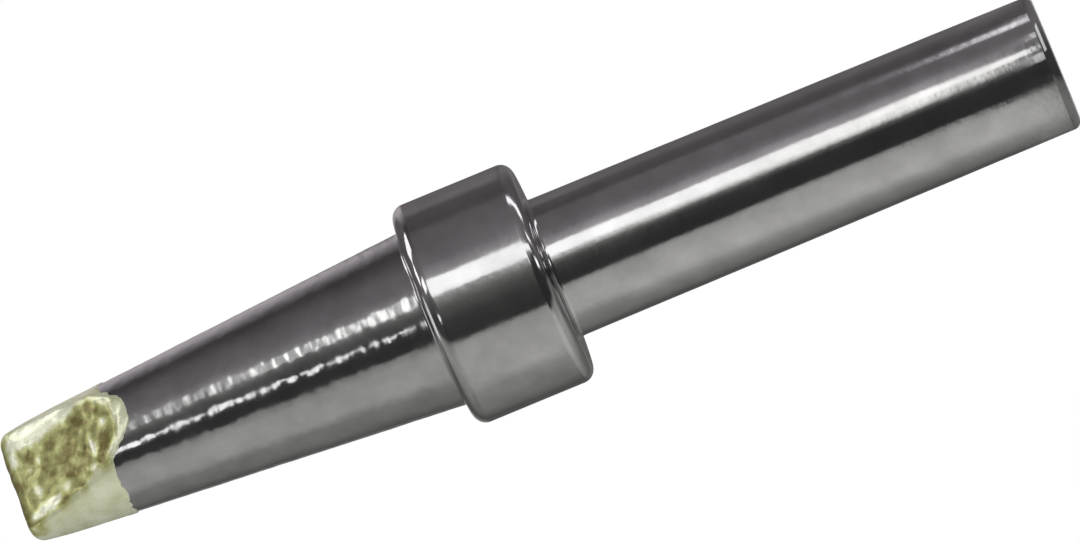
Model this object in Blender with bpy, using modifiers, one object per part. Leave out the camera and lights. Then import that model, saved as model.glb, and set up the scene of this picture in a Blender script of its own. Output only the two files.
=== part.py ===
"""A chisel-shaped soldering iron tip, turned from one copper bar and plated.

It stands on the open end of its shank. The origin is the centre of that end face and
+Z runs along the tip's axis to the working edge. The chisel's flats face +Y and -Y, so
the working edge lies along X. All lengths are metres.
"""

import math

import bmesh
import bpy
from mathutils import Matrix, Vector

# Shank, the sleeve that slides into the heater
SHANK_LENGTH = 0.0160
SHANK_DIAMETER = 0.00431
SHANK_DRAFT = 0.00015  # how much less the diameter is at the open end
SHANK_END_ROUNDING = 0.00026

# Blind bore for the heater's sensor rod, drilled from the open end
BORE_DIAMETER = 0.0028
BORE_DEPTH = 0.0195  # up to where the drill's point begins
BORE_CHAMFER = 0.00013
DRILL_POINT_ANGLE = math.radians(118.0)

# Collar that the retaining nut bears on
COLLAR_LENGTH = 0.0038
COLLAR_DIAMETER = 0.0069
COLLAR_ROUNDING = 0.0004
SHANK_FILLET = 0.00016
TAPER_FILLET = 0.00012

# Taper from the collar to the working edge
TAPER_LENGTH = 0.01331
TAPER_BASE_DIAMETER = 0.00545
EDGE_WIDTH = 0.00338
EDGE_CORNER_ROUNDING = 0.0003

# Chisel flats ground on the end of the taper
FLAT_LENGTH = 0.0039
EDGE_THICKNESS = 0.0007

# Fineness of the faceted model
TURNED_STEPS = 72
ARC_STEPS = 6
SHARP_ANGLE = math.radians(30.0)
MERGE_DISTANCE = 1e-6

# The most that a rounding or a fillet takes of the step or wall that it is on
ROUNDING_SHARE = 0.65
FILLET_SHARE = 0.2
END_SHARE = 0.45


def clear_scene():
    for item in list(bpy.data.objects):
        bpy.data.objects.remove(item, do_unlink=True)


def new_collection(name):
    collection = bpy.data.collections.new(name)
    bpy.context.scene.collection.children.link(collection)
    return collection


def metal(name, colour, roughness):
    material = bpy.data.materials.new(name)
    material.use_nodes = True
    shader = material.node_tree.nodes["Principled BSDF"]
    shader.inputs["Base Color"].default_value = (*colour, 1.0)
    shader.inputs["Metallic"].default_value = 1.0
    shader.inputs["Roughness"].default_value = roughness
    material.diffuse_color = (*colour, 1.0)
    return material


def rounded_corner(before, corner, after, radius):
    """The points of an arc of that radius that joins the two straight runs at corner."""
    to_before = (before - corner).normalized()
    to_after = (after - corner).normalized()
    half_angle = to_before.angle(to_after) / 2.0
    middle = (to_before + to_after).normalized()
    centre = corner + middle * (radius / math.sin(half_angle))
    tangent_length = radius / math.tan(half_angle)
    start = corner + to_before * tangent_length - centre
    turn = start.angle_signed(corner + to_after * tangent_length - centre)
    return [
        centre + Matrix.Rotation(-turn * step / ARC_STEPS, 2) @ start
        for step in range(ARC_STEPS + 1)
    ]


def rounded_outline(corners):
    """An open outline through (radius from the axis, height, rounding) corners."""
    places = [Vector(corner[:2]) for corner in corners]
    points = []
    for index, (_, _, rounding) in enumerate(corners):
        if rounding == 0.0:
            points.append(places[index])
            continue
        points += rounded_corner(
            places[index - 1], places[index], places[index + 1], rounding
        )
    return points


def tip_outline():
    """Half of the tip's section, from the working edge down the outside and up the bore."""
    collar_back = SHANK_LENGTH
    collar_front = collar_back + COLLAR_LENGTH
    edge_height = collar_front + TAPER_LENGTH

    shank_radius = SHANK_DIAMETER / 2.0
    end_radius = (SHANK_DIAMETER - SHANK_DRAFT) / 2.0
    collar_radius = COLLAR_DIAMETER / 2.0
    taper_radius = TAPER_BASE_DIAMETER / 2.0
    edge_radius = EDGE_WIDTH / 2.0
    bore_radius = BORE_DIAMETER / 2.0

    end_wall = end_radius - bore_radius
    end_rounding = min(SHANK_END_ROUNDING, END_SHARE * end_wall)
    chamfer = min(BORE_CHAMFER, END_SHARE * end_wall)
    back_step = collar_radius - shank_radius
    front_step = collar_radius - taper_radius
    widest = min(COLLAR_ROUNDING, END_SHARE * COLLAR_LENGTH)
    drill_point = bore_radius / math.tan(DRILL_POINT_ANGLE / 2.0)

    return rounded_outline(
        [
            (0.0, edge_height, 0.0),
            (edge_radius, edge_height, EDGE_CORNER_ROUNDING),
            (taper_radius, collar_front, min(TAPER_FILLET, FILLET_SHARE * front_step)),
            (collar_radius, collar_front, min(widest, ROUNDING_SHARE * front_step)),
            (collar_radius, collar_back, min(widest, ROUNDING_SHARE * back_step)),
            (shank_radius, collar_back, min(SHANK_FILLET, FILLET_SHARE * back_step)),
            (end_radius, 0.0, end_rounding),
            (bore_radius + chamfer, 0.0, 0.0),
            (bore_radius, chamfer, 0.0),
            (bore_radius, BORE_DEPTH, 0.0),
            (0.0, BORE_DEPTH + drill_point, 0.0),
        ]
    )


def turned_object(name, outline, collection, material):
    mesh = bpy.data.meshes.new(name)
    points = [(point.x, 0.0, point.y) for point in outline]
    edges = [(index, index + 1) for index in range(len(points) - 1)]
    mesh.from_pydata(points, edges, [])
    turned = bpy.data.objects.new(name, mesh)
    turned.data.materials.append(material)
    collection.objects.link(turned)
    screw = turned.modifiers.new("Turned", "SCREW")
    screw.steps = TURNED_STEPS
    screw.render_steps = TURNED_STEPS
    screw.use_merge_vertices = True
    screw.merge_threshold = MERGE_DISTANCE
    screw.use_smooth_shade = True
    return turned


def flat_cutter(name, side, collection, material):
    """A block whose inner face is the plane of one flat, on the +Y side or the -Y side."""
    edge_height = SHANK_LENGTH + COLLAR_LENGTH + TAPER_LENGTH
    slope = (TAPER_BASE_DIAMETER - EDGE_WIDTH) / 2.0 / TAPER_LENGTH
    start_radius = EDGE_WIDTH / 2.0 + slope * FLAT_LENGTH
    half_edge = EDGE_THICKNESS / 2.0
    flat_angle = math.atan2(start_radius - half_edge, FLAT_LENGTH)
    reach = 2.0 * (FLAT_LENGTH + EDGE_WIDTH)

    block = bmesh.new()
    bmesh.ops.create_cube(block, size=reach)
    bmesh.ops.translate(block, verts=block.verts, vec=(0.0, reach / 2.0, 0.0))
    bmesh.ops.rotate(block, verts=block.verts, matrix=Matrix.Rotation(flat_angle, 3, "X"))
    bmesh.ops.translate(block, verts=block.verts, vec=(0.0, half_edge, edge_height))
    bmesh.ops.rotate(block, verts=block.verts, matrix=Matrix.Rotation(side, 3, "Z"))
    mesh = bpy.data.meshes.new(name)
    block.to_mesh(mesh)
    block.free()
    mesh.materials.append(material)

    cutter = bpy.data.objects.new(name, mesh)
    cutter.display_type = "WIRE"
    cutter.hide_render = True
    collection.objects.link(cutter)
    return cutter


def grind_flat(blank, cutter):
    cut = blank.modifiers.new(cutter.name, "BOOLEAN")
    cut.operation = "DIFFERENCE"
    cut.solver = "EXACT"
    cut.material_mode = "TRANSFER"
    cut.object = cutter


def apply_modifiers(item):
    """Keeps the shape that the modifiers give, smooth where it is round and sharp at edges."""
    bpy.context.view_layer.update()
    graph = bpy.context.evaluated_depsgraph_get()
    made = bpy.data.meshes.new_from_object(item.evaluated_get(graph))
    item.modifiers.clear()
    item.data = made
    made.name = item.name
    made.shade_smooth()
    made.set_sharp_from_angle(angle=SHARP_ANGLE)


def main():
    clear_scene()
    parts = new_collection("Soldering iron tip")
    cutters = new_collection("Cutters")
    plating = metal("Chrome plating", (0.55, 0.54, 0.56), 0.16)
    solder = metal("Tinned end", (0.70, 0.69, 0.52), 0.3)

    tip = turned_object("soldering_tip", tip_outline(), parts, plating)
    grind_flat(tip, flat_cutter("flat_front", math.pi, cutters, solder))
    grind_flat(tip, flat_cutter("flat_back", 0.0, cutters, solder))
    apply_modifiers(tip)


main()
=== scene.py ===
"""Dresses the soldering iron tip: a plated, turned body and the solder coat on its end.

The tip stands on its shank's open end at the origin, +Z along its axis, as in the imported
model. The stage holds a pale floor, an overhead lamp, the cards that the plating mirrors
and the camera. All lengths are metres.
"""

import math

import bmesh
import bpy
import numpy as np
from bpy.props import FloatProperty, FloatVectorProperty, IntProperty, PointerProperty
from bpy.types import Operator, Panel, PropertyGroup
from mathutils import Matrix, Quaternion, Vector, noise


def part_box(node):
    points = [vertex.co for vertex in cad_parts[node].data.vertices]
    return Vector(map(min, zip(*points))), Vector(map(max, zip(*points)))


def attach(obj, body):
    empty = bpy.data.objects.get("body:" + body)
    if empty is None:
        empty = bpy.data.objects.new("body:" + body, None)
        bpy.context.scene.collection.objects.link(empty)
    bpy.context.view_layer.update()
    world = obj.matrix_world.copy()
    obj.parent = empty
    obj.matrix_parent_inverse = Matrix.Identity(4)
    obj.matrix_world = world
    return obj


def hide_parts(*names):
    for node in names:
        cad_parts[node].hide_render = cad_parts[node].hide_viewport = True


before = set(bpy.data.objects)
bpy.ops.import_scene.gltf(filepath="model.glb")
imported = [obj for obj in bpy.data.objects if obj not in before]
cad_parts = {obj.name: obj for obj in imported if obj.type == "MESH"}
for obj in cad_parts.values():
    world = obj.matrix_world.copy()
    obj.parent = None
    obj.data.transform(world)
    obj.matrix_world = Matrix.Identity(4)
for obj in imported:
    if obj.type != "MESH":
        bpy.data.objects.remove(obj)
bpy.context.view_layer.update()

bl_info = {
    "name": "Soldering Iron Tip",
    "version": (1, 0, 0),
    "blender": (4, 5, 0),
    "location": "3D View > Sidebar > Soldering Tip",
    "description": "Builds a plated chisel tip with its solder coat, and a stage to show it on",
    "category": "Add Mesh",
}

NODE = "soldering_tip"
TIP_LOW, TIP_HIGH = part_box(NODE)
TIP_HEIGHT = TIP_HIGH.z - TIP_LOW.z
COLLAR_DIAMETER = TIP_HIGH.x - TIP_LOW.x
DRILL_POINT_ANGLE = math.radians(118.0)
MM = 0.001

# Form of the body and of the coat
GROUND_ROUNDING = 0.03 * MM  # where the bare metal's flats meet its cone
ARC_STEPS = 8  # faces across each rounding and fillet
SUPPORT = 0.02 * MM  # how near its ends a straight run has a ring, which keeps it straight
COVERED_DEPTH = 0.2 * MM  # how far the body is drawn in under the coat
COVERED_END = 0.15 * MM  # and how far its end is lowered there
CORE_RADIUS = 0.02 * MM  # the least that is left of it
BODY_END_MARGIN = 0.8 * MM  # how far below the flats the body may be cut
COAT_END_MARGIN = 0.6 * MM  # how far below the flats the coat's rows go
RIM_DEPTH = 0.05 * MM  # how far the coat dips into the body outside its rim
RIM_BLEND = 0.14 * MM  # how softly the rim on a flat becomes the rim on a side
EDGE_ROWS = 12  # the coat's rows round the working edge
EDGE_DRAW = 0.8  # how much the flats are drawn in there, as a share of the corners
OUTLINE_SAMPLES = 1441  # points that measure the length of one row's outline
SEAM_RISE = 0.01 * MM  # how far the seam on the working edge stands above the first row
SEAM_WIDTH = 0.004 * MM  # points of that seam that lie nearer than this are joined
FOOT_SHARE = 0.6  # how wide the coat's hidden foot is, as a share of its last row
SHARP_ANGLE = math.radians(40.0)

# Seeds of the noise that shapes each of these
(
    MARK_SEED, FINE_MARK_SEED, POLISH_SEED, BEAD_SEED, LUMP_SEED, SMALL_LUMP_SEED, GRAIN_SEED,
    STAIN_SEED, FINE_STAIN_SEED, SIDE_STAIN_SEED,
) = range(3, 13)
RIM_SEED, FINE_RIM_SEED = 33, 34

# Stage
SENSOR_WIDTH = 36.0  # millimetres
LAMP_LEAN = (math.radians(18.0), math.radians(-14.0), 0.0)
LAYER_SHARE = 0.02  # how much nearer the light cards hang, as a share of the distance
FLOOR_GAP = 0.03 * MM  # between the floor and the foot of the surround
LAYER_GAP = 0.02 * MM  # between that and the feet of the light cards
SURROUND_TURNS = (-180.0, 180.0)  # degrees round the axis
SURROUND_RISES = (-83.7, 78.0)  # degrees above level
TURN_STEP = 1.5
RISE_STEP = 1.2
CARD_STEP = 3.0


def length(name, description, default, **options):
    """A property that holds a length in metres."""
    return FloatProperty(
        name=name, description=description, default=default, unit="LENGTH", precision=6, **options
    )


def tone(name, description, default):
    """A property that holds a brightness, where 1 is white."""
    return FloatProperty(name=name, description=description, default=default, min=0.0)


def colour(name, description, default):
    return FloatVectorProperty(
        name=name, description=description, default=default, subtype="COLOR", min=0.0, max=1.0
    )


class SOLDERTIP_PG_body(PropertyGroup):
    """Sizes and finish of the turned, plated body"""

    height: length("Height", "From the shank's open end to the working edge", TIP_HEIGHT)
    shank_length: length("Shank length", "From the open end to the collar", 16.0 * MM)
    shank_diameter: length("Shank diameter", "Where the shank meets the collar", 4.31 * MM)
    shank_draft: length("Shank draft", "How much slimmer the open end is", 0.15 * MM)
    end_rounding: length("End rounding", "Radius on the rim of the open end", 0.26 * MM)
    bore_diameter: length("Bore diameter", "Of the blind bore in the shank", 2.8 * MM)
    bore_depth: length("Bore depth", "Up to where the drill's point begins", 19.5 * MM)
    bore_chamfer: length("Bore chamfer", "On the rim of the bore", 0.13 * MM)
    collar_length: length("Collar length", "Along the axis", 3.8 * MM)
    collar_diameter: length("Collar diameter", "Across the collar", COLLAR_DIAMETER)
    collar_rounding: length("Collar rounding", "Radius on the collar's two rims", 0.4 * MM)
    shank_fillet: length("Shank fillet", "In the corner of shank and collar", 0.16 * MM)
    taper_fillet: length("Taper fillet", "In the corner of taper and collar", 0.12 * MM)
    taper_diameter: length("Taper diameter", "Where the taper meets the collar", 5.45 * MM)
    edge_width: length("Edge width", "Along the chisel's working edge", 3.38 * MM)
    edge_thickness: length("Edge thickness", "Across the chisel's working edge", 0.7 * MM)
    edge_rounding: length("Edge rounding", "Radius on the working edge's corners", 0.3 * MM)
    flat_length: length("Flat length", "Of each ground flat, along the axis", 3.9 * MM)
    mark_height: length("Turning mark height", "Of the tool's marks on the taper", 0.006 * MM)
    mark_pitch: length("Turning mark pitch", "Between marks, along the axis", 0.26 * MM)
    polish_height: length("Polish height", "Of the soft waves left by polishing", 0.0045 * MM)
    polish_pitch: length("Polish pitch", "Between polishing waves", 1.5 * MM)
    columns: IntProperty(name="Columns", description="Faces round the axis", default=180, min=24)
    plating: colour("Plating", "Colour that the chrome plating mirrors", (0.56, 0.555, 0.56))
    bore_metal: colour("Bore metal", "Colour of the bare metal in the bore", (0.30, 0.27, 0.25))


class SOLDERTIP_PG_solder(PropertyGroup):
    """Sizes and finish of the solder coat"""

    side_length: length("Side length", "How far the coat reaches down the round sides", 3.1 * MM)
    dip_slant: length("Dip slant", "How much further it reaches on the +X side", 0.57 * MM)
    flat_margin: length("Flat margin", "How far the coat reaches past each flat", 0.16 * MM)
    thickness: length("Thickness", "Of the coat away from its rim", 0.03 * MM)
    corner_rounding: length("Corner rounding", "Where the flats meet the round sides", 0.10 * MM)
    rim_height: length("Rim height", "Of the bead along the coat's rim", 0.06 * MM)
    rim_width: length("Rim width", "Of the bead along the coat's rim", 0.34 * MM)
    rim_wander: length("Rim wander", "How far the rim strays from its line", 0.10 * MM)
    lump_height: length("Lump height", "Of the frozen lumps on the flats", 0.042 * MM)
    lump_size: length("Lump size", "Across one lump", 0.6 * MM)
    grain_height: length("Grain height", "Of the small grains on the lumps", 0.008 * MM)
    grain_size: length("Grain size", "Across one grain", 0.20 * MM)
    columns: IntProperty(name="Columns", description="Faces round the coat", default=320, min=32)
    rows: IntProperty(name="Rows", description="Faces from rim to edge", default=190, min=16)
    bright: colour("Bright solder", "Colour of clean solder", (0.87, 0.88, 0.68))
    tarnished: colour("Tarnished solder", "Colour under thin flux", (0.46, 0.475, 0.20))
    stained: colour("Stained solder", "Colour under thick flux", (0.19, 0.165, 0.055))


class SOLDERTIP_PG_stage(PropertyGroup):
    """Camera, floor, lamp and cards"""

    view_turn: FloatProperty(
        name="View turn",
        description="Direction of the camera round the axis, from -Y towards -X",
        default=math.radians(29.0),
        subtype="ANGLE",
    )
    view_drop: FloatProperty(
        name="View drop",
        description="How far the camera looks up, from below level",
        default=math.radians(2.5),
        subtype="ANGLE",
    )
    view_roll: FloatProperty(
        name="View roll",
        description="Turn of the camera about its own axis, counter-clockwise in the picture",
        default=math.radians(247.52),
        subtype="ANGLE",
    )
    view_width: length("View width", "What the picture's width covers at the tip", 31.77 * MM)
    view_height: length("View height", "Where on the axis the camera looks", 16.38 * MM)
    view_shift: length("View shift", "How far beside the axis it looks", 0.061 * MM)
    view_distance: length("View distance", "From the camera to the axis", 0.30)
    floor_size: length("Floor size", "Across the round floor", 6.0)
    floor_colour: colour("Floor colour", "Plain pale floor", (0.86, 0.86, 0.86))
    card_distance: length("Card distance", "From the axis to the cards", 0.24)
    soft_light: tone("Soft light", "Of the surroundings on dull surfaces", 0.5)
    floor_lift: tone("Floor lift", "What is added to the floor where it is seen", 0.2)
    lamp_strength: tone("Lamp strength", "Of the overhead lamp", 1.65)
    lamp_spread: FloatProperty(
        name="Lamp spread",
        description="How broad the overhead lamp looks from the tip",
        default=math.radians(50.0),
        subtype="ANGLE",
    )


def round_corner(before, corner, after, radius, steps):
    """The points of an arc of that radius that joins the two straight runs at corner."""
    to_before = (before - corner).normalized()
    to_after = (after - corner).normalized()
    half_angle = to_before.angle(to_after) / 2.0
    middle = (to_before + to_after).normalized()
    centre = corner + middle * (radius / math.sin(half_angle))
    tangent_length = radius / math.tan(half_angle)
    start = corner + to_before * tangent_length - centre
    turn = start.angle_signed(corner + to_after * tangent_length - centre)
    return [
        centre + Matrix.Rotation(-turn * step / steps, 2) @ start for step in range(steps + 1)
    ]


def outline(corners, steps):
    """Points through (radius, height, rounding, spacing) corners, long runs cut to spacing."""
    places = [Vector(corner[:2]) for corner in corners]
    points = [places[0]]
    for index in range(1, len(corners)):
        rounding, spacing = corners[index][2:]
        bend = [places[index]]
        if rounding:
            bend = round_corner(
                places[index - 1], places[index], places[index + 1], rounding, steps
            )
        points += cut_run(points[-1], bend[0], spacing)
        points += bend
    return points


def cut_run(start, end, spacing):
    """Points along a straight run, with one close to each of its ends to keep it straight."""
    run = end - start
    support = min(SUPPORT / run.length, 0.2)
    pieces = max(1, math.ceil(run.length / spacing))
    shares = [support] + [piece / pieces for piece in range(1, pieces)] + [1.0 - support]
    return [start + run * share for share in shares]


class Taper:
    """The cone from the collar to the working edge, and the two flats ground on it."""

    def __init__(self, body):
        self.edge_height = body.height
        self.start_height = body.shank_length + body.collar_length
        self.length = self.edge_height - self.start_height
        self.base_radius = body.taper_diameter / 2.0
        self.edge_radius = body.edge_width / 2.0
        self.half_edge = body.edge_thickness / 2.0
        start_radius = self.radius(self.edge_height - body.flat_length)
        self.flat_slope = (start_radius - self.half_edge) / body.flat_length

    def radius(self, height):
        slope = (self.base_radius - self.edge_radius) / self.length
        return self.edge_radius + slope * (self.edge_height - height)

    def half_thickness(self, height):
        return self.half_edge + self.flat_slope * (self.edge_height - height)


def reach_of_flats(half_thickness, angle):
    """Distance from the axis to the flats at each angle round it."""
    return half_thickness / np.maximum(np.abs(np.sin(angle)), 1e-6)


def cut_by_flats(radius, half_thickness, angle, rounding):
    """Distance from the axis to a round section cut by two flats, their corners rounded."""
    to_flat = reach_of_flats(half_thickness, angle)
    return -rounding * np.logaddexp(-radius / rounding, -to_flat / rounding)


def smooth_step(value, low, high):
    share = np.clip((value - low) / (high - low), 0.0, 1.0)
    return share * share * (3.0 - 2.0 * share)


def noise_at(points, size, seed):
    """Noise from -1 to 1 at each point of a grid, with features of about that size."""
    flat = (points / size + (seed * 17.3, seed * -9.1, seed * 5.7)).reshape(-1, 3).tolist()
    return np.array([noise.noise(point) for point in flat]).reshape(points.shape[:-1])


def around(radius, height, angle):
    """A grid of points from the radius, the height and the angle round the axis of each."""
    return np.stack(
        np.broadcast_arrays(radius * np.cos(angle), radius * np.sin(angle), height), axis=-1
    )


def grid_faces(rows, columns):
    """Quads between the rings of a grid, facing out where each ring is above the next."""
    faces = []
    for row in range(rows - 1):
        here = row * columns
        below = here + columns
        for column in range(columns):
            following = (column + 1) % columns
            faces.append((here + column, below + column, below + following, here + following))
    return faces


def new_piece(name, points, faces, materials):
    mesh = bpy.data.meshes.new(name)
    mesh.from_pydata(points, [], faces)
    for material in materials:
        mesh.materials.append(material)
    mesh.shade_smooth()
    piece = bpy.data.objects.new(name, mesh)
    bpy.context.scene.collection.objects.link(piece)
    return piece


def body_outlines(body):
    """Half of the section: from the working edge to the shank's end, and up the bore."""
    collar_back = body.shank_length
    collar_front = collar_back + body.collar_length
    collar_radius = body.collar_diameter / 2.0
    shank_radius = body.shank_diameter / 2.0
    end_radius = (body.shank_diameter - body.shank_draft) / 2.0
    bore_radius = body.bore_diameter / 2.0
    drill_point = bore_radius / math.tan(DRILL_POINT_ANGLE / 2.0)
    fine, plain, coarse = 0.045 * MM, 0.4 * MM, 2.0 * MM
    outside = outline(
        (
            (0.0, body.height, 0.0, plain),
            (body.edge_width / 2.0, body.height, body.edge_rounding, plain),
            (body.taper_diameter / 2.0, collar_front, body.taper_fillet, fine),
            (collar_radius, collar_front, body.collar_rounding, plain),
            (collar_radius, collar_back, body.collar_rounding, plain),
            (shank_radius, collar_back, body.shank_fillet, plain),
            (end_radius, 0.0, body.end_rounding, plain),
            (bore_radius + body.bore_chamfer, 0.0, 0.0, plain),
        ),
        ARC_STEPS,
    )
    bore = outline(
        (
            (bore_radius, body.bore_chamfer, 0.0, plain),
            (bore_radius, body.bore_depth, 0.0, coarse),
            (0.0, body.bore_depth + drill_point, 0.0, plain),
        ),
        ARC_STEPS,
    )
    return outside, bore


def tool_marks(points, angle, body):
    """Relief left by the turning tool on the taper: rings that change slowly round the axis."""
    height = points[..., 2]
    coarse = noise_at(around(5.0, height / body.mark_pitch, angle), 1.0, MARK_SEED)
    fine_height = height / (0.45 * body.mark_pitch)
    fine = noise_at(around(7.0, fine_height, angle), 1.0, FINE_MARK_SEED)
    start = body.shank_length + body.collar_length
    share = smooth_step(height, start + 0.1 * MM, start + 0.4 * MM)
    return body.mark_height * share * (coarse + 0.3 * fine)


def ground_radius(points, radius, angle, taper, solder):
    """The radius with the flats cut, and drawn in where the solder hides the metal."""
    height = points[..., 2]
    covered = coat_reach(points, radius, angle, taper, solder)
    ground = cut_by_flats(radius, taper.half_thickness(height), angle, GROUND_ROUNDING)
    ground -= COVERED_DEPTH * smooth_step(covered, 0.08 * MM, 0.5 * MM)
    cut = np.maximum(radius - np.maximum(ground, CORE_RADIUS), 0.0)
    return radius - cut * smooth_step(covered, 0.03 * MM, 0.12 * MM)


def body_faces(rings, columns):
    """The grid of the section's rings, closed by a pole at the working edge and in the bore."""
    faces = grid_faces(rings, columns)
    edge_pole = rings * columns
    bore_pole = edge_pole + 1
    last_ring = edge_pole - columns
    for column in range(columns):
        following = (column + 1) % columns
        faces.append((edge_pole, column, following))
        faces.append((last_ring + column, bore_pole, last_ring + following))
    return faces


def build_body(body, solder):
    """The turned and ground body, closed from the working edge to the end of the bore."""
    outside, bore = body_outlines(body)
    columns = body.columns
    rings = np.array((outside + bore)[1:-1])
    angle = np.linspace(0.0, math.tau, columns, endpoint=False)[None, :]
    radius = np.repeat(rings[:, :1], columns, axis=1)
    height = np.repeat(rings[:, 1:], columns, axis=1)
    outer = np.arange(len(rings))[:, None] < len(outside) - 1

    points = around(radius, height, angle)
    relief = tool_marks(points, angle, body)
    relief += body.polish_height * noise_at(points, body.polish_pitch, POLISH_SEED)
    radius = radius + np.where(outer, relief, 0.0)
    taper = Taper(body)
    on_end = outer & (height > taper.edge_height - body.flat_length - BODY_END_MARGIN)
    radius = np.where(on_end, ground_radius(points, radius, angle, taper, solder), radius)
    height = np.where(outer, np.minimum(height, taper.edge_height - COVERED_END), height)

    poles = [(0.0, 0.0, float(height[0, 0])), (0.0, 0.0, bore[-1].y)]
    piece = new_piece(
        "plated_body",
        around(radius, height, angle).reshape(-1, 3).tolist() + poles,
        body_faces(len(rings), columns),
        (chrome_material(body), bore_material(body)),
    )
    bore_start = (len(outside) - 2) * columns
    edge_pole = len(rings) * columns
    for face in piece.data.polygons:
        if face.index >= bore_start and face.vertices[0] != edge_pole:
            face.material_index = 1
    piece.data.set_sharp_from_angle(angle=SHARP_ANGLE)
    return piece


def coat_foot(body):
    """Height of the coat's lowest row, which is hidden inside the body."""
    return body.height - body.flat_length - COAT_END_MARGIN


def coat_rows(body, solder):
    """Heights of the coat's rows, top first, and how far each is drawn in at the edge."""
    taper = Taper(body)
    rounding = body.edge_rounding
    turn = np.linspace(math.pi / 2.0, 0.0, EDGE_ROWS)
    cap_height = taper.edge_height - rounding
    straight = np.linspace(cap_height, coat_foot(body), solder.rows)[1:]
    heights = np.concatenate((cap_height + rounding * np.sin(turn), straight))
    drawn_in = np.concatenate((rounding * (1.0 - np.cos(turn)), np.zeros_like(straight)))
    return heights[:, None], drawn_in[:, None]


def even_angles(radius, half_thickness, solder):
    """Angles round one section that divide its outline into equal lengths."""
    angle = np.linspace(0.0, math.tau, OUTLINE_SAMPLES)
    distance = cut_by_flats(radius, half_thickness, angle, solder.corner_rounding)
    steps = np.hypot(np.diff(distance * np.cos(angle)), np.diff(distance * np.sin(angle)))
    run = np.concatenate(((0.0,), np.cumsum(steps)))
    return np.interp(np.linspace(0.0, run[-1], solder.columns, endpoint=False), run, angle)


def grid_normals(points):
    """Outward normals of a grid of rings, the highest ring first."""
    round_axis = np.roll(points, -1, axis=1) - np.roll(points, 1, axis=1)
    upwards = -np.gradient(points, axis=0)
    normals = np.cross(round_axis, upwards)
    return normals / np.linalg.norm(normals, axis=-1, keepdims=True)


def coat_reach(points, radius, angle, taper, solder):
    """How far each point lies inside the rim of the coat; negative where it is outside."""
    height = points[..., 2]
    across = radius * np.abs(np.sin(angle))
    past_flat = (across - taper.half_thickness(height)) / taper.flat_slope + solder.flat_margin
    past_side = height - (taper.edge_height - solder.side_length)
    reach = RIM_BLEND * np.logaddexp(past_flat / RIM_BLEND, past_side / RIM_BLEND)
    reach += solder.dip_slant * np.maximum(np.cos(angle), 0.0) ** 2
    wander = noise_at(points, 0.45 * MM, RIM_SEED)
    wander += 0.5 * noise_at(points, 0.18 * MM, FINE_RIM_SEED)
    return reach + solder.rim_wander * wander


def spots_at(points, taper, spots):
    """Sum of the listed round spots on the front flat, each falling off smoothly."""
    below_edge = taper.edge_height - points[..., 2]
    total = np.zeros(points.shape[:-1])
    for across, down, half_width, half_height, strength in spots:
        distance = ((points[..., 0] - across * MM) / (half_width * MM)) ** 2
        distance += ((below_edge - down * MM) / (half_height * MM)) ** 2
        total += strength * np.exp(-distance)
    return total * (points[..., 1] < 0.0)


def rim_bead(points, reach, flat_share, solder):
    """The uneven bead along the coat's rim, a quarter as high on the round sides."""
    middle = 0.5 * solder.rim_width
    bead = np.exp(-(((reach - middle) / (0.4 * solder.rim_width)) ** 2))
    uneven = 0.6 + 0.9 * noise_at(points, 0.3 * MM, BEAD_SEED)
    bead *= uneven * (0.25 + 0.75 * flat_share)
    return solder.rim_height * bead


def coat_height(points, reach, flat_share, taper, solder):
    """How far the coat's surface stands off the body; negative where the coat has ended."""
    inside = smooth_step(reach, -0.05 * MM, 0.04 * MM)
    height = inside * (solder.thickness + RIM_DEPTH) - RIM_DEPTH
    height += rim_bead(points, reach, flat_share, solder)

    # Lumps of two sizes, smoother and higher where flux is missing, and nearly none on the sides
    well_inside = smooth_step(reach, 0.0, 2.0 * solder.rim_width)
    lumps = noise_at(points, solder.lump_size, LUMP_SEED)
    lumps += 0.35 * noise_at(points, 0.5 * solder.lump_size, SMALL_LUMP_SEED)
    spots = spots_at(points, taper, FLUX_AND_PAINTED_LIGHT_SPOTS)
    smoothness = 1.0 - 0.7 * np.clip(-spots, 0.0, 1.0)
    lumps = smoothness * lumps - 0.5 * spots + spots_at(points, taper, MOUNDS)
    height += solder.lump_height * lumps * well_inside * (0.12 + 0.88 * flat_share)

    grains = noise_at(points, solder.grain_size, GRAIN_SEED)
    height += solder.grain_height * smoothness * grains * inside * (0.1 + 0.9 * flat_share)
    return height


def coat_stain_and_painted_light(points, reach, flat_share, taper, solder):
    """How strongly flux has stained each point, from 0 to 1: the flats but not their rims.

    Where spots with less flux make the solder lighter, that is in part a painted highlight, and
    two spots at the lower corner of the working edge make it darker as painted shade.
    """
    spots = spots_at(points, taper, FLUX_AND_PAINTED_LIGHT_SPOTS)
    stain_and_painted_light = 0.68 + 0.22 * noise_at(points, 0.5 * MM, STAIN_SEED)
    stain_and_painted_light += 0.26 * noise_at(points, 0.22 * MM, FINE_STAIN_SEED)
    inside = smooth_step(reach, 0.15 * MM, 1.5 * solder.rim_width)
    # The spots add painted highlights where they lighten the solder, and painted shade at the
    # lower corner of the working edge.
    stain_and_painted_light = stain_and_painted_light * inside + spots * (0.4 + 0.6 * inside)

    side_stain = 0.15 + 0.2 * noise_at(points, 0.5 * MM, SIDE_STAIN_SEED)
    side_stain += 0.6 * np.maximum(spots, 0.0)
    stain_and_painted_light = flat_share * stain_and_painted_light + (1.0 - flat_share) * side_stain

    # A little darker along the working edge itself
    below_edge = taper.edge_height - points[..., 2]
    stain_and_painted_light += 0.4 * np.exp(-((below_edge / (0.09 * MM)) ** 2))
    return np.clip(stain_and_painted_light, 0.0, 1.0)


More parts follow.
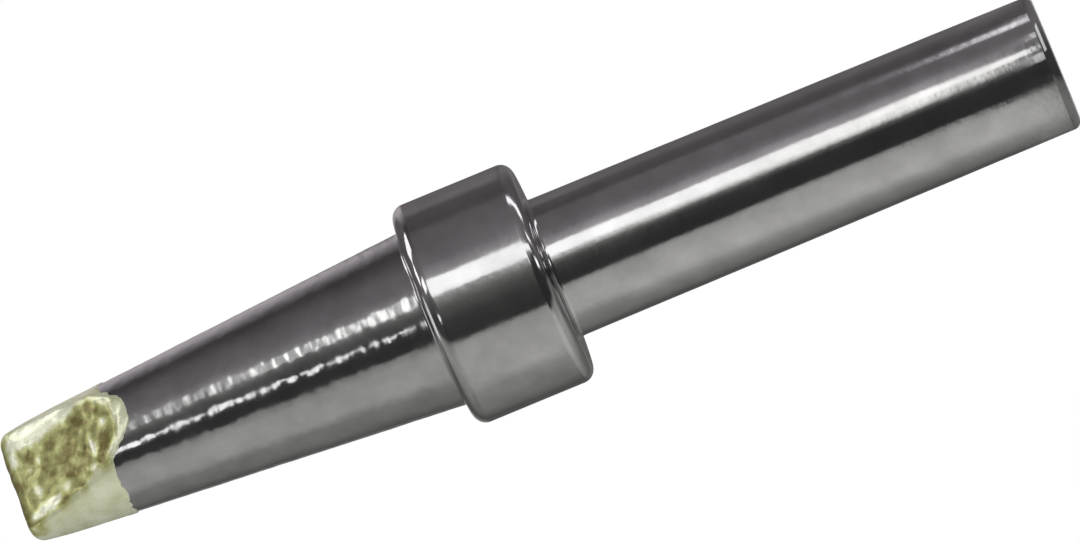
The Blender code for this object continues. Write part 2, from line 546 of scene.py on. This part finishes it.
def coat_surface(body, solder):
    """The coat's outer surface as a grid of points, highest row first, and at each point how
    strongly flux has stained it, with the painted highlights and shade of the spots.
    """
    taper = Taper(body)
    height, drawn_in = coat_rows(body, solder)
    plain_radius = taper.radius(height) - drawn_in
    half_thickness = taper.half_thickness(height) - EDGE_DRAW * drawn_in
    angle = np.stack(
        [
            even_angles(row_radius, row_thickness, solder)
            for row_radius, row_thickness in zip(plain_radius[:, 0], half_thickness[:, 0])
        ]
    )
    radius = cut_by_flats(plain_radius, half_thickness, angle, GROUND_ROUNDING)
    reach = coat_reach(around(radius, height, angle), plain_radius, angle, taper, solder)
    extra_rounding = solder.corner_rounding - GROUND_ROUNDING
    rounding = GROUND_ROUNDING + extra_rounding * smooth_step(reach, 0.1 * MM, 0.5 * MM)
    points = around(cut_by_flats(plain_radius, half_thickness, angle, rounding), height, angle)
    past_flat = plain_radius - reach_of_flats(half_thickness, angle)
    flat_share = smooth_step(past_flat, -0.06 * MM, 0.10 * MM)
    stand_off = coat_height(points, reach, flat_share, taper, solder)
    stain_and_painted_light = coat_stain_and_painted_light(points, reach, flat_share, taper, solder)
    return points + grid_normals(points) * stand_off[..., None], stain_and_painted_light


def build_solder(body, solder):
    """The coat, closed over the working edge and by a foot inside the body."""
    points, stain_and_painted_light = coat_surface(body, solder)
    columns = solder.columns
    top = points[0] * (1.0, 0.0, 1.0) + (0.0, 0.0, SEAM_RISE)
    foot = points[-1] * (FOOT_SHARE, FOOT_SHARE, 1.0)
    points = np.concatenate((top[None], points, foot[None]))
    stain_and_painted_light = np.concatenate((stain_and_painted_light[:1], stain_and_painted_light, stain_and_painted_light[-1:]))
    faces = grid_faces(len(points), columns)
    centre = len(points) * columns
    last_row = centre - columns
    faces += [
        (last_row + column, centre, last_row + (column + 1) % columns)
        for column in range(columns)
    ]
    piece = new_piece(
        "solder_coat",
        points.reshape(-1, 3).tolist() + [(0.0, 0.0, coat_foot(body))],
        faces,
        (solder_material(solder),),
    )
    attribute = piece.data.attributes.new("stain_and_painted_light", "FLOAT", "POINT")
    attribute.data.foreach_set("value", stain_and_painted_light.ravel().tolist() + [0.0])
    merge_top(piece.data)
    return piece


def merge_top(mesh):
    """Closes the coat over the working edge, where its first ring lies in one line."""
    form = bmesh.new()
    form.from_mesh(mesh)
    seam = [vertex for vertex in form.verts if abs(vertex.co.y) < 1e-9]
    bmesh.ops.remove_doubles(form, verts=seam, dist=SEAM_WIDTH)
    form.to_mesh(mesh)
    form.free()


def new_material(name):
    material = bpy.data.materials.new(name)
    material.use_nodes = True
    return material, material.node_tree.nodes, material.node_tree.links


def surface_noise(nodes, links, scale, detail, along=None):
    """A noise texture over the object, its scale per metre, with another one along the tip."""
    place = nodes.new("ShaderNodeTexCoord")
    mapping = nodes.new("ShaderNodeMapping")
    mapping.inputs["Scale"].default_value = (scale, scale, along or scale)
    texture = nodes.new("ShaderNodeTexNoise")
    texture.inputs["Scale"].default_value = 1.0
    texture.inputs["Detail"].default_value = detail
    links.new(place.outputs["Object"], mapping.inputs["Vector"])
    links.new(mapping.outputs["Vector"], texture.inputs["Vector"])
    return texture.outputs["Fac"]


def in_range(nodes, links, value, low, high, start=0.3, end=0.7):
    """Maps a value, for a texture mostly from 0.3 to 0.7, to the range from low to high."""
    change = nodes.new("ShaderNodeMapRange")
    change.inputs["From Min"].default_value = start
    change.inputs["From Max"].default_value = end
    change.inputs["To Min"].default_value = low
    change.inputs["To Max"].default_value = high
    links.new(value, change.inputs["Value"])
    return change.outputs["Result"]


def bump(nodes, links, height, distance, base=None):
    """The normals of a relief of that height, over those of base."""
    relief = nodes.new("ShaderNodeBump")
    relief.inputs["Distance"].default_value = distance
    links.new(height, relief.inputs["Height"])
    if base is not None:
        links.new(base, relief.inputs["Normal"])
    return relief.outputs["Normal"]


def chrome_material(body):
    """Bright plating over fine turning lines and a slight unevenness."""
    material, nodes, links = new_material("Chrome plating")
    shader = nodes["Principled BSDF"]
    shader.inputs["Metallic"].default_value = 1.0
    smudges = surface_noise(nodes, links, 1100.0, 4.0)
    shade = nodes.new("ShaderNodeVectorMath")
    shade.operation = "SCALE"
    shade.inputs[0].default_value = body.plating
    links.new(in_range(nodes, links, smudges, 0.90, 1.10), shade.inputs["Scale"])
    links.new(shade.outputs["Vector"], shader.inputs["Base Color"])
    cloud = surface_noise(nodes, links, 700.0, 3.0)
    links.new(in_range(nodes, links, cloud, 0.08, 0.15), shader.inputs["Roughness"])
    uneven = surface_noise(nodes, links, 3200.0, 2.0)
    lines = surface_noise(nodes, links, 600.0, 2.0, along=9000.0)
    soft = bump(nodes, links, uneven, 0.0023 * MM)
    links.new(bump(nodes, links, lines, 0.0004 * MM, soft), shader.inputs["Normal"])
    return material


def bore_material(body):
    """Bare drilled metal, dulled by heat."""
    material, nodes, links = new_material("Drilled metal")
    shader = nodes["Principled BSDF"]
    shader.inputs["Base Color"].default_value = (*body.bore_metal, 1.0)
    shader.inputs["Metallic"].default_value = 1.0
    cloud = surface_noise(nodes, links, 900.0, 4.0)
    links.new(in_range(nodes, links, cloud, 0.42, 0.62), shader.inputs["Roughness"])
    lines = surface_noise(nodes, links, 400.0, 2.0, along=5000.0)
    links.new(bump(nodes, links, lines, 0.004 * MM), shader.inputs["Normal"])
    return material


def solder_material(solder):
    """Grained solder, clean where there is no flux, then yellow, then brown under the flux.

    The flux spots also bring painted highlights and painted shade into that colour.
    """
    material, nodes, links = new_material("Tinned end")
    shader = nodes["Principled BSDF"]
    shader.inputs["Metallic"].default_value = 0.45
    # The attribute holds the flux staining with the spots' painted highlights and shade.
    stain_and_painted_light = nodes.new("ShaderNodeAttribute")
    stain_and_painted_light.attribute_name = "stain_and_painted_light"
    patches = surface_noise(nodes, links, 4500.0, 2.0)
    uneven = nodes.new("ShaderNodeMath")
    uneven.operation = "MULTIPLY"
    links.new(stain_and_painted_light.outputs["Fac"], uneven.inputs[0])
    links.new(in_range(nodes, links, patches, 0.8, 1.2), uneven.inputs[1])
    tint = nodes.new("ShaderNodeValToRGB")
    tint.color_ramp.elements.new(0.5)
    for stop, shade in zip(
        tint.color_ramp.elements, (solder.bright, solder.tarnished, solder.stained)
    ):
        stop.color = (*shade, 1.0)
    links.new(uneven.outputs["Value"], tint.inputs["Fac"])
    links.new(tint.outputs["Color"], shader.inputs["Base Color"])
    cloud = surface_noise(nodes, links, 2500.0, 3.0)
    links.new(in_range(nodes, links, cloud, 0.18, 0.34), shader.inputs["Roughness"])
    grain = surface_noise(nodes, links, 9000.0, 2.0)
    links.new(bump(nodes, links, grain, 0.006 * MM), shader.inputs["Normal"])
    return material


def ray_is_seen(nodes, links, light_path):
    """1 for camera, glossy and transmission rays, 0 for the others."""
    total = light_path.outputs["Is Camera Ray"]
    for kind in ("Is Glossy Ray", "Is Transmission Ray"):
        either = nodes.new("ShaderNodeMath")
        either.operation = "MAXIMUM"
        links.new(total, either.inputs[0])
        links.new(light_path.outputs[kind], either.inputs[1])
        total = either.outputs["Value"]
    return total


def add_world(stage):
    """White where it is seen or mirrored, and a soft even light on the object."""
    world = bpy.data.worlds.new("Studio")
    bpy.context.scene.world = world
    world.use_nodes = True
    nodes, links = world.node_tree.nodes, world.node_tree.links
    background = nodes["Background"]
    background.inputs["Color"].default_value = (1.0, 1.0, 1.0, 1.0)
    seen = ray_is_seen(nodes, links, nodes.new("ShaderNodeLightPath"))
    strength = in_range(nodes, links, seen, stage.soft_light, 1.0, 0.0, 1.0)
    links.new(strength, background.inputs["Strength"])


def add_floor(stage):
    form = bmesh.new()
    bmesh.ops.create_circle(form, cap_ends=True, radius=stage.floor_size / 2.0, segments=96)
    mesh = bpy.data.meshes.new("floor")
    form.to_mesh(mesh)
    form.free()
    material, nodes, links = new_material("Pale floor")
    shader = nodes["Principled BSDF"]
    shader.inputs["Base Color"].default_value = (*stage.floor_colour, 1.0)
    shader.inputs["Roughness"].default_value = 1.0
    shader.inputs["Specular IOR Level"].default_value = 0.0
    shader.inputs["Emission Color"].default_value = (1.0, 1.0, 1.0, 1.0)
    seen = ray_is_seen(nodes, links, nodes.new("ShaderNodeLightPath"))
    glow = in_range(nodes, links, seen, 0.0, stage.floor_lift, 0.0, 1.0)
    links.new(glow, shader.inputs["Emission Strength"])
    mesh.materials.append(material)
    floor = bpy.data.objects.new("floor", mesh)
    bpy.context.scene.collection.objects.link(floor)
    return floor


def add_lamp(stage):
    """A far, broad lamp from above, which lights the floor evenly."""
    light = bpy.data.lights.new("Overhead lamp", "SUN")
    light.energy = stage.lamp_strength
    light.angle = stage.lamp_spread
    lamp = bpy.data.objects.new("Overhead lamp", light)
    lamp.rotation_euler = LAMP_LEAN
    lamp.visible_glossy = False
    bpy.context.scene.collection.objects.link(lamp)


def card_direction(stage, turn, rise):
    """The direction of a card: turn is the angle round the axis from the camera's side."""
    heading = -math.pi / 2.0 - stage.view_turn - turn
    return Vector(
        (math.cos(heading) * math.cos(rise), math.sin(heading) * math.cos(rise), math.sin(rise))
    )


def card_point(stage, turn, rise, layer):
    """A point of the surround, which is round the tip and bent at its foot to lie on the floor."""
    centre = Vector((0.0, 0.0, stage.view_height))
    distance = stage.card_distance * (1.0 - LAYER_SHARE * layer)
    if rise < 0.0:
        above_floor = centre.z - FLOOR_GAP - LAYER_GAP * layer
        distance = min(distance, above_floor / math.sin(-rise))
    return centre + card_direction(stage, turn, rise) * distance


def add_card(stage, name, turns, rises, tone_at, layer):
    """A curved card that is only seen mirrored, with a tone at each of its points."""
    points = []
    tones = []
    for rise in rises:
        for turn in turns:
            points.append(card_point(stage, math.radians(turn), math.radians(rise), layer))
            tones += (*tone_at(turn, rise), 1.0)
    across = len(turns)
    faces = [
        (first, first + 1, first + across + 1, first + across)
        for row in range(len(rises) - 1)
        for first in range(row * across, row * across + across - 1)
    ]
    material, nodes, links = new_material(name)
    nodes.remove(nodes["Principled BSDF"])
    glow = nodes.new("ShaderNodeEmission")
    painted = nodes.new("ShaderNodeAttribute")
    painted.attribute_name = "tone"
    links.new(painted.outputs["Color"], glow.inputs["Color"])
    links.new(glow.outputs["Emission"], nodes["Material Output"].inputs["Surface"])
    card = new_piece(name, points, faces, (material,))
    tone = card.data.color_attributes.new("tone", "FLOAT_COLOR", "POINT")
    tone.data.foreach_set("color", tones)
    card.visible_camera = False
    card.visible_diffuse = False
    card.visible_shadow = False
    return card


def even_steps(first, last, step):
    return np.linspace(first, last, 1 + max(1, round((last - first) / step))).tolist()


def surround_tone(turn, rise):
    """The surround's colour: each height has its own tones round the axis, blended between."""
    heights = [row[0] for row in SURROUND]
    tones = [np.interp(turn, *zip(*row[1])) for row in SURROUND]
    tone = float(np.interp(rise, heights, tones))
    warm = float(np.interp(turn, TINT_CHANGE, (0.0, 1.0)))
    return [tone * (cool + warm * (sun - cool)) for cool, sun in zip(COOL_TINT, WARM_TINT)]


def add_surround(stage):
    turns = even_steps(*SURROUND_TURNS, TURN_STEP)
    rises = even_steps(*SURROUND_RISES, RISE_STEP)
    surround = add_card(stage, "surround", turns, rises, surround_tone, 0)
    lights = [
        add_card(
            stage,
            name,
            even_steps(*turn_range, CARD_STEP),
            even_steps(*rise_range, CARD_STEP),
            lambda turn, rise, tone=tone: tone,
            1,
        )
        for name, turn_range, rise_range, tone in LIGHT_CARDS
    ]
    return [surround, *lights]


def add_camera(stage):
    """The photograph's view: from a little below level, rolled so that the axis lies aslant."""
    turn, drop = stage.view_turn, stage.view_drop
    side = Vector((math.cos(turn), -math.sin(turn), 0.0))
    towards = Vector(
        (-math.sin(turn) * math.cos(drop), -math.cos(turn) * math.cos(drop), -math.sin(drop))
    )
    target = Vector((0.0, 0.0, stage.view_height)) + side * stage.view_shift
    lens = bpy.data.cameras.new("Photograph view")
    lens.sensor_width = SENSOR_WIDTH
    lens.lens = lens.sensor_width * stage.view_distance / stage.view_width
    lens.clip_start = 0.01
    lens.clip_end = 20.0
    camera = bpy.data.objects.new("Photograph view", lens)
    camera.location = target + towards * stage.view_distance
    camera.rotation_mode = "QUATERNION"
    camera.rotation_quaternion = (-towards).to_track_quat("-Z", "Y") @ Quaternion(
        (0.0, 0.0, 1.0), stage.view_roll
    )
    bpy.context.scene.collection.objects.link(camera)
    bpy.context.scene.camera = camera


# Round mounds on the front flat: across from the axis, down from the edge, half width and half
# height in millimetres, and how high each stands, as a share of a lump's height.
MOUNDS = (
    (0.92, 0.75, 0.45, 0.50, 1.9),
    (0.92, 1.50, 0.45, 0.50, 1.9),
    (1.05, 2.15, 0.40, 0.40, 1.6),
)

# Spots on the same flat, placed in the same way, and how much more flux there is on each. Less
# flux also means that the solder is smoother and stands a little higher there. The spots with
# less flux sit on the flat's bright band and glints, and their lighter colour is in part a
# painted highlight.
FLUX_AND_PAINTED_LIGHT_SPOTS = (
    (1.24, 0.68, 0.30, 0.44, -1.6),
    (1.15, 1.36, 0.34, 0.44, -1.7),
    (1.28, 2.14, 0.31, 0.46, -2.1),
    (0.68, 0.27, 0.24, 0.12, -1.1),
    (0.05, 0.68, 0.13, 0.12, -0.4),
    (-0.65, 0.68, 0.20, 0.15, -0.65),
    (0.25, 1.00, 0.13, 0.15, -0.4),
    (-1.33, 0.41, 0.15, 0.26, -1.2),
    (-1.26, 0.97, 0.15, 0.26, -1.5),
    (-1.08, 1.62, 0.20, 0.22, -0.5),
    (-1.03, 2.56, 0.18, 0.13, -0.6),
    (-0.46, 2.71, 0.40, 0.11, -0.8),
    (0.09, 3.25, 0.15, 0.12, -0.7),
    (-0.23, 2.33, 0.13, 0.10, -0.4),
    (0.23, 2.53, 0.17, 0.10, -0.35),
    (0.45, 0.83, 0.17, 0.18, 0.35),
    (0.46, 1.50, 0.20, 0.18, 0.45),
    (0.12, 1.27, 0.13, 0.15, 0.35),
    (-0.08, 2.09, 0.20, 0.24, 0.45),
    (0.82, 3.00, 0.20, 0.12, 0.8),
    (-0.34, 2.50, 0.13, 0.09, 0.5),
    (-0.82, 1.97, 0.13, 0.21, 0.4),
    (-1.38, 2.06, 0.13, 0.11, 0.8),
    (-1.05, 2.90, 0.24, 0.22, 1.0),
    (-0.64, 3.08, 0.24, 0.15, 0.7),
    (-1.45, 1.36, 0.14, 0.17, 0.6),
    (-0.26, 0.30, 0.15, 0.18, 0.35),
    (0.63, 2.53, 0.32, 0.35, 0.3),
    # These two darken the lower corner at the working edge: painted shade.
    (-1.62, 0.35, 0.10, 0.22, 0.8),
    (-1.34, 0.12, 0.28, 0.14, 0.4),
    (-0.44, 1.80, 0.50, 0.65, 0.15),
)

# Tones of the grey surround that the plating mirrors, at heights in degrees above level. Each
# pair is an angle round the axis from the camera's side, in degrees, and the tone there.
NEAR_TONES = (
    (-180.0, 0.10), (-100.0, 0.12), (-45.0, 0.20), (-10.0, 0.06), (12.0, 0.05), (20.0, 0.19),
    (40.0, 0.24), (70.0, 0.20), (100.0, 0.14), (180.0, 0.10),
)
FOOT_TONES = (
    (-180.0, 0.10), (-100.0, 0.13), (-45.0, 0.20), (-30.0, 0.12), (-15.0, 0.04),
    (28.0, 0.035), (37.0, 0.32), (60.0, 0.46), (90.0, 0.40), (130.0, 0.20), (180.0, 0.10),
)
BELOW_TONES = (
    (-180.0, 0.20), (-140.0, 0.20), (-113.0, 0.14), (-98.0, 0.09), (-75.0, 0.17), (-60.0, 0.19),
    (-39.0, 0.34), (-35.0, 0.45), (-33.0, 1.70), (-27.0, 1.70), (-25.0, 0.36), (-21.0, 0.20),
    (-14.0, 0.05), (0.0, 0.036), (33.5, 0.035), (37.5, 0.42), (45.0, 0.60), (66.0, 0.66),
    (84.0, 0.64), (103.0, 0.45), (126.0, 0.32), (142.0, 0.26), (152.0, 0.14), (180.0, 0.20),
)
LOW_TONES = (
    (-180.0, 0.12), (-136.0, 0.17), (-114.0, 0.11), (-100.0, 0.10), (-93.0, 0.17), (-66.0, 0.17),
    (-55.0, 0.23), (-48.0, 0.42), (-38.0, 0.56), (-36.5, 1.66), (-19.5, 1.66), (-14.5, 1.00),
    (-11.0, 0.17), (-4.0, 0.04), (27.0, 0.035), (30.5, 0.40), (35.0, 0.50), (60.0, 0.60),
    (76.0, 0.64), (86.0, 0.58), (96.0, 0.42), (108.0, 0.30), (136.0, 0.17), (148.0, 0.10),
    (180.0, 0.12),
)
LEVEL_TONES = (
    (-180.0, 0.10), (-136.0, 0.20), (-128.0, 0.20), (-120.0, 0.11), (-99.0, 0.095),
    (-91.0, 0.145), (-66.0, 0.185), (-52.0, 0.22), (-39.0, 0.40), (-18.0, 0.34), (-11.0, 0.23),
    (-5.0, 0.14), (8.0, 0.065), (28.5, 0.04), (31.5, 0.40), (37.0, 0.47), (62.0, 0.545),
    (79.0, 0.54), (93.0, 0.35), (125.0, 0.245), (148.0, 0.10), (180.0, 0.10),
)
RAISED_TONES = (
    (-180.0, 0.35), (-152.0, 0.50), (-141.0, 0.48), (-118.0, 0.16), (-109.0, 0.065),
    (-99.0, 0.078), (-72.0, 0.155), (-50.0, 0.20), (-36.0, 0.30), (-22.0, 0.24), (-14.0, 0.13),
    (0.0, 0.06), (14.0, 0.04), (27.5, 0.045), (31.0, 0.30), (42.0, 0.43), (60.0, 0.47),
    (80.0, 0.45), (96.0, 0.27), (125.0, 0.21), (150.0, 0.10), (180.0, 0.35),
)
HIGH_TONES = (
    (-180.0, 0.12), (-90.0, 0.15), (-40.0, 0.20), (0.0, 0.06), (26.0, 0.06), (34.0, 0.30),
    (60.0, 0.42), (100.0, 0.34), (150.0, 0.10), (180.0, 0.12),
)
SURROUND = (
    (-66.0, NEAR_TONES), (-52.0, FOOT_TONES), (-32.0, FOOT_TONES), (-16.0, BELOW_TONES),
    (-6.4, BELOW_TONES), (-4.4, LOW_TONES), (0.5, LOW_TONES), (2.0, LEVEL_TONES),
    (4.5, LEVEL_TONES), (7.0, RAISED_TONES), (18.0, RAISED_TONES), (26.0, HIGH_TONES),
)
# The surround's tint where the tip mirrors it above the highlight, and from there down, and
# the angles round the axis between which one becomes the other.
COOL_TINT = (1.035, 0.96, 1.01)
WARM_TINT = (1.01, 1.01, 0.98)
TINT_CHANGE = (-45.0, -33.0)

# Lighter cards in front of the surround: name, angles round the axis, angles above level, colour.
LIGHT_CARDS = (
    ("card_strip", (-37.0, -19.3), (-2.0, 10.5), (1.66, 1.66, 1.65)),
    ("card_strip_foot", (-34.0, -26.0), (-40.0, -9.0), (1.75, 1.75, 1.73)),
    ("card_strip_top", (-35.5, -22.0), (10.5, 12.9), (2.2, 2.2, 2.15)),
    ("card_strip_end", (-35.5, -21.5), (12.9, 17.0), (0.66, 0.66, 0.65)),
    ("card_thin", (-1.5, 6.5), (15.5, 24.0), (1.7, 1.7, 1.7)),
    ("card_thin_low", (0.0, 3.5), (12.0, 15.5), (1.2, 1.2, 1.2)),
    ("card_high_left", (-106.0, -79.0), (22.0, 50.0), (1.9, 1.9, 1.9)),
    ("card_high_middle", (-80.0, -52.0), (48.0, 60.0), (1.9, 1.9, 1.9)),
    ("card_high_right", (-44.0, -30.0), (22.0, 46.0), (1.9, 1.9, 1.9)),
    ("card_low_left", (-95.0, -77.0), (-54.0, -40.0), (1.9, 1.9, 1.9)),
    ("card_low_middle", (-54.0, -44.0), (-60.0, -46.0), (1.9, 1.9, 1.9)),
    ("card_low_right", (-20.0, -8.0), (-56.0, -42.0), (1.9, 1.9, 1.9)),
    ("card_foot", (-40.0, -12.0), (-82.6, -81.0), (0.95, 0.95, 0.95)),
    ("card_end", (-91.0, -81.0), (-40.0, -7.2), (1.8, 1.75, 1.85)),
)


class SOLDERTIP_OT_add_body(Operator):
    """Add the turned and plated body, with its bore"""

    bl_idname = "soldertip.add_body"
    bl_label = "Plated Body"
    bl_options = {"REGISTER", "UNDO"}

    def execute(self, context):
        scene = context.scene
        piece = build_body(scene.soldertip_body, scene.soldertip_solder)
        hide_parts(NODE)
        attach(piece, "root")
        return {"FINISHED"}


class SOLDERTIP_OT_add_solder(Operator):
    """Add the solder coat on the working end"""

    bl_idname = "soldertip.add_solder"
    bl_label = "Solder Coat"
    bl_options = {"REGISTER", "UNDO"}

    def execute(self, context):
        scene = context.scene
        piece = build_solder(scene.soldertip_body, scene.soldertip_solder)
        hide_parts(NODE)
        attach(piece, "root")
        return {"FINISHED"}


class SOLDERTIP_OT_add_stage(Operator):
    """Add the floor, the lamp, the cards and the camera"""

    bl_idname = "soldertip.add_stage"
    bl_label = "Stage"
    bl_options = {"REGISTER", "UNDO"}

    def execute(self, context):
        stage = context.scene.soldertip_stage
        context.scene.view_settings.view_transform = "Standard"
        add_world(stage)
        floor = add_floor(stage)
        add_surround(stage)
        add_lamp(stage)
        add_camera(stage)
        return {"FINISHED"}


class SOLDERTIP_PT_panel(Panel):
    """Settings and buttons for each piece"""

    bl_label = "Soldering Tip"
    bl_idname = "SOLDERTIP_PT_panel"
    bl_space_type = "VIEW_3D"
    bl_region_type = "UI"
    bl_category = "Soldering Tip"

    def draw(self, context):
        layout = self.layout
        layout.use_property_split = True
        scene = context.scene
        for operator, settings in (
            (SOLDERTIP_OT_add_body, scene.soldertip_body),
            (SOLDERTIP_OT_add_solder, scene.soldertip_solder),
            (SOLDERTIP_OT_add_stage, scene.soldertip_stage),
        ):
            box = layout.box()
            for name in settings.__annotations__:
                box.prop(settings, name)
            box.operator(operator.bl_idname)


CLASSES = (
    SOLDERTIP_PG_body,
    SOLDERTIP_PG_solder,
    SOLDERTIP_PG_stage,
    SOLDERTIP_OT_add_body,
    SOLDERTIP_OT_add_solder,
    SOLDERTIP_OT_add_stage,
    SOLDERTIP_PT_panel,
)


def register():
    for item in CLASSES:
        bpy.utils.register_class(item)
    bpy.types.Scene.soldertip_body = PointerProperty(type=SOLDERTIP_PG_body)
    bpy.types.Scene.soldertip_solder = PointerProperty(type=SOLDERTIP_PG_solder)
    bpy.types.Scene.soldertip_stage = PointerProperty(type=SOLDERTIP_PG_stage)


def unregister():
    del bpy.types.Scene.soldertip_stage
    del bpy.types.Scene.soldertip_solder
    del bpy.types.Scene.soldertip_body
    for item in reversed(CLASSES):
        bpy.utils.unregister_class(item)


def main():
    register()
    bpy.ops.soldertip.add_body()
    bpy.ops.soldertip.add_solder()
    bpy.ops.soldertip.add_stage()


if __name__ == "__main__":
    main()
